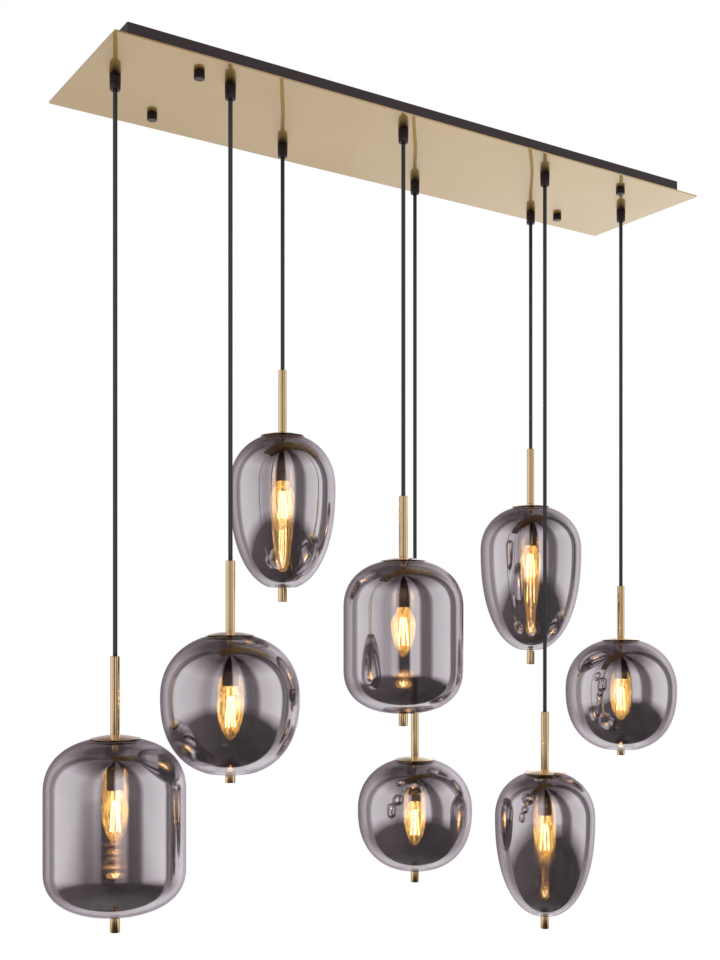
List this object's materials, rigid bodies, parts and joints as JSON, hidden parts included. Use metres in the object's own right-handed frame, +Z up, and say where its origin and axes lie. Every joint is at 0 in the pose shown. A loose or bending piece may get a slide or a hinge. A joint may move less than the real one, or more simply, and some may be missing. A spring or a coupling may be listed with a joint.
{
  "type": "cluster pendant light",
  "caption": "Linear cluster pendant: a flat rectangular brass canopy with textile cords, brass stems and smoked blown-glass shades in straight, round and egg forms.",
  "frame": {"origin": "centre of the ceiling face, midway between the four ceiling screw slots", "axes": "+Z up into the ceiling, +X along the long side of the plate, +Y across it"},
  "size_m": [1.0815, 0.33, 1.1922],
  "materials": {
    "brushed_brass": "brushed",
    "polished_brass": "polished",
    "black_paint": "satin",
    "black_grip": "satin",
    "zinc_steel": "zinc plated",
    "terminal_plastic": "matte",
    "cord_textile": "braided",
    "holder_black": "gloss",
    "bulb_glass": "clear",
    "smoked_glass": "smoked mirror"
  },
  "bodies": {
    "canopy": {"canopy_tray": "black_paint", "brass_plate": "brushed_brass", "ceiling_bracket_left": "zinc_steel", "ceiling_bracket_right": "zinc_steel", "bracket_studs": "zinc_steel", "cap_nuts": "black_paint", "cord_grips": "black_grip", "grip_screws": "zinc_steel", "grip_locknuts": "zinc_steel", "terminal_block": "terminal_plastic", "inner_leads": "cord_textile", "earth_terminal": "zinc_steel"},
    "cord_1_line": {"cord_1": "cord_textile"},
    "pendant_1": {"stem_1": "polished_brass", "lampholder_1": "holder_black", "bulb_1": "bulb_glass", "shade_1": "smoked_glass", "finial_1": "polished_brass"},
    "cord_2_line": {"cord_2": "cord_textile"},
    "pendant_2": {"stem_2": "polished_brass", "lampholder_2": "holder_black", "bulb_2": "bulb_glass", "shade_2": "smoked_glass", "finial_2": "polished_brass"},
    "cord_3_line": {"cord_3": "cord_textile"},
    "pendant_3": {"stem_3": "polished_brass", "lampholder_3": "holder_black", "bulb_3": "bulb_glass", "shade_3": "smoked_glass", "finial_3": "polished_brass"},
    "cord_4_line": {"cord_4": "cord_textile"},
    "pendant_4": {"stem_4": "polished_brass", "lampholder_4": "holder_black", "bulb_4": "bulb_glass", "shade_4": "smoked_glass", "finial_4": "polished_brass"},
    "cord_5_line": {"cord_5": "cord_textile"},
    "pendant_5": {"stem_5": "polished_brass", "lampholder_5": "holder_black", "bulb_5": "bulb_glass", "shade_5": "smoked_glass", "finial_5": "polished_brass"},
    "cord_6_line": {"cord_6": "cord_textile"},
    "pendant_6": {"stem_6": "polished_brass", "lampholder_6": "holder_black", "bulb_6": "bulb_glass", "shade_6": "smoked_glass", "finial_6": "polished_brass"},
    "cord_7_line": {"cord_7": "cord_textile"},
    "pendant_7": {"stem_7": "polished_brass", "lampholder_7": "holder_black", "bulb_7": "bulb_glass", "shade_7": "smoked_glass", "finial_7": "polished_brass"},
    "cord_8_line": {"cord_8": "cord_textile"},
    "pendant_8": {"stem_8": "polished_brass", "lampholder_8": "holder_black", "bulb_8": "bulb_glass", "shade_8": "smoked_glass", "finial_8": "polished_brass"}
  },
  "joints": [
    {"name": "pendant_1_swing", "type": "hinge", "parent": "canopy", "child": "cord_1_line", "pos_m": [-0.456, -0.008, -0.045], "axis": [1, 0, 0], "range_deg": [0, 20]},
    {"name": "pendant_1_height", "type": "slide", "parent": "cord_1_line", "child": "pendant_1", "axis": [0, 0, 1], "range_m": [-0.1, 0], "deforming": ["cord_1"]},
    {"name": "pendant_2_swing", "type": "hinge", "parent": "canopy", "child": "cord_2_line", "pos_m": [-0.321, -0.064, -0.045], "axis": [-1, 0, 0], "range_deg": [0, 20]},
    {"name": "pendant_2_height", "type": "slide", "parent": "cord_2_line", "child": "pendant_2", "axis": [0, 0, 1], "range_m": [0, 0.1], "deforming": ["cord_2"]},
    {"name": "pendant_3_swing", "type": "hinge", "parent": "canopy", "child": "cord_3_line", "pos_m": [-0.17, 0.066, -0.045], "axis": [1, 0, 0], "range_deg": [0, 20]},
    {"name": "pendant_3_height", "type": "slide", "parent": "cord_3_line", "child": "pendant_3", "axis": [0, 0, 1], "range_m": [-0.1, 0.1], "deforming": ["cord_3"]},
    {"name": "pendant_4_swing", "type": "hinge", "parent": "canopy", "child": "cord_4_line", "pos_m": [-0.053, -0.072, -0.045], "axis": [-1, 0, 0], "range_deg": [0, 20]},
    {"name": "pendant_4_height", "type": "slide", "parent": "cord_4_line", "child": "pendant_4", "axis": [0, 0, 1], "range_m": [-0.1, 0.1], "deforming": ["cord_4"]},
    {"name": "pendant_5_swing", "type": "hinge", "parent": "canopy", "child": "cord_5_line", "pos_m": [0.078, 0.082, -0.045], "axis": [1, 0, 0], "range_deg": [0, 20]},
    {"name": "pendant_5_height", "type": "slide", "parent": "cord_5_line", "child": "pendant_5", "axis": [0, 0, 1], "range_m": [-0.1, 0.1], "deforming": ["cord_5"]},
    {"name": "pendant_6_swing", "type": "hinge", "parent": "canopy", "child": "cord_6_line", "pos_m": [0.324, 0.089, -0.045], "axis": [1, 0, 0], "range_deg": [0, 20]},
    {"name": "pendant_6_height", "type": "slide", "parent": "cord_6_line", "child": "pendant_6", "axis": [0, 0, 1], "range_m": [0, 0.1], "deforming": ["cord_6"]},
    {"name": "pendant_7_swing", "type": "hinge", "parent": "canopy", "child": "cord_7_line", "pos_m": [0.226, -0.056, -0.045], "axis": [-1, 0, 0], "range_deg": [0, 20]},
    {"name": "pendant_7_height", "type": "slide", "parent": "cord_7_line", "child": "pendant_7", "axis": [0, 0, 1], "range_m": [-0.1, 0.1], "deforming": ["cord_7"]},
    {"name": "pendant_8_swing", "type": "hinge", "parent": "canopy", "child": "cord_8_line", "pos_m": [0.444, -0.002, -0.045], "axis": [-1, 0, 0], "range_deg": [0, 20]},
    {"name": "pendant_8_height", "type": "slide", "parent": "cord_8_line", "child": "pendant_8", "axis": [0, 0, 1], "range_m": [-0.1, 0], "deforming": ["cord_8"]}
  ]
}
